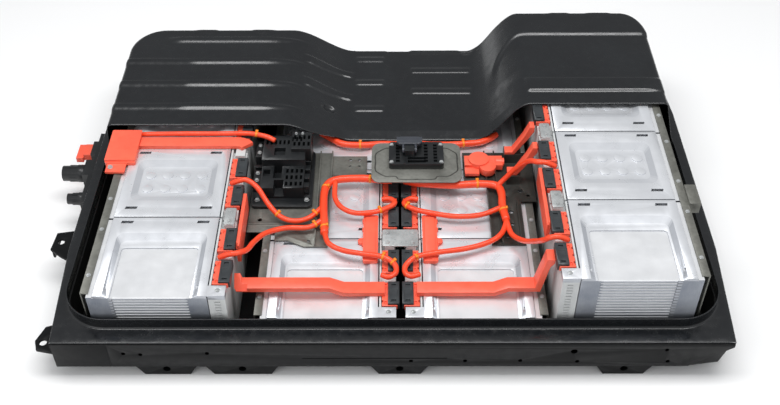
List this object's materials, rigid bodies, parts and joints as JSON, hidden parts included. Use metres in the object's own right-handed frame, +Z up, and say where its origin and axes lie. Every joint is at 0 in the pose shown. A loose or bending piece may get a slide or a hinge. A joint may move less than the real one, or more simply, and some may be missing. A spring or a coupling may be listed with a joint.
{
  "type": "ev battery pack",
  "caption": "Flat traction battery in a black tray, its cover cut away over the near half to show battery stacks, orange cables, a junction box and a service plug with a locking lever.",
  "frame": {"origin": "on the ground, under the middle of the whole pack's bounding box", "axes": "+X along the case, away from the end with the connectors; +Y towards the covered far half; +Z up. The service side, with the cover cut away, faces -Y."},
  "size_m": [1.529, 1.018, 0.265],
  "materials": {
    "cell_shell": "thin folded aluminium cell cans, satin",
    "pressed_aluminium": "pressed aluminium sheet, satin",
    "coated_steel": "black electro-coated steel, satin",
    "cover_coat": "black coated pressed steel cover, satin with a fine grain",
    "gasket_rubber": "black sealing rubber",
    "white_plastic": "off-white moulded plastic",
    "orange_plastic": "bright orange moulded plastic",
    "orange_cable": "orange cable sheath",
    "cap_plastic": "dark grey moulded plastic",
    "bright_steel": "zinc-plated steel",
    "grey_steel": "dull grey pressed steel",
    "black_plastic": "black moulded plastic"
  },
  "bodies": {
    "pack": {"left_stack_1": "cell_shell", "left_stack_2": "cell_shell", "left_stack_3": "cell_shell", "left_stack_4": "cell_shell", "mid_left_stack_1": "cell_shell", "mid_left_stack_2": "cell_shell", "mid_left_stack_3": "cell_shell", "mid_left_stack_4": "cell_shell", "mid_right_stack_1": "cell_shell", "mid_right_stack_2": "cell_shell", "mid_right_stack_3": "cell_shell", "mid_right_stack_4": "cell_shell", "right_stack_1": "cell_shell", "right_stack_2": "cell_shell", "right_stack_3": "cell_shell", "right_stack_4": "cell_shell", "lower_case": "coated_steel", "near_rail": "coated_steel", "far_rail": "coated_steel", "end_rails": "coated_steel", "feet": "coated_steel", "gasket": "gasket_rubber", "upper_cover": "cover_coat", "left_top_plates": "pressed_aluminium", "mid_left_top_plates": "pressed_aluminium", "mid_right_top_plates": "pressed_aluminium", "right_top_plates": "pressed_aluminium", "terminal_frames": "white_plastic", "terminal_holders": "orange_plastic", "terminal_caps": "cap_plastic", "links": "bright_steel", "flange_bolts": "bright_steel", "left_bracket": "grey_steel", "mid_left_bracket": "grey_steel", "mid_right_bracket": "grey_steel", "right_bracket": "grey_steel", "left_cross_frame": "grey_steel", "right_cross_frame": "grey_steel", "junction_base": "black_plastic", "junction_cover": "black_plastic", "small_bolts": "bright_steel", "plug_bracket": "grey_steel", "plug_base": "black_plastic", "bus_ducts": "orange_plastic", "upright_covers": "orange_plastic", "guards": "orange_plastic", "right_bus_arms": "orange_plastic", "bus_cover": "orange_plastic", "inlet_cover": "orange_plastic", "inlet_duct": "orange_plastic", "left_harness": "orange_cable", "right_harness": "orange_cable", "inlet_cable": "orange_cable", "connector_bracket": "black_plastic", "large_connector": "black_plastic", "small_connector": "black_plastic", "flat_connector": "orange_plastic", "mounting_ears": "coated_steel"},
    "lever": {"plug_lever": "black_plastic"}
  },
  "joints": [
    {"name": "lever_hinge", "type": "hinge", "parent": "pack", "child": "lever", "pos_m": [0.0815, -0.009, 0.198], "axis": [1, 0, 0], "range_deg": [0, 90]}
  ]
}
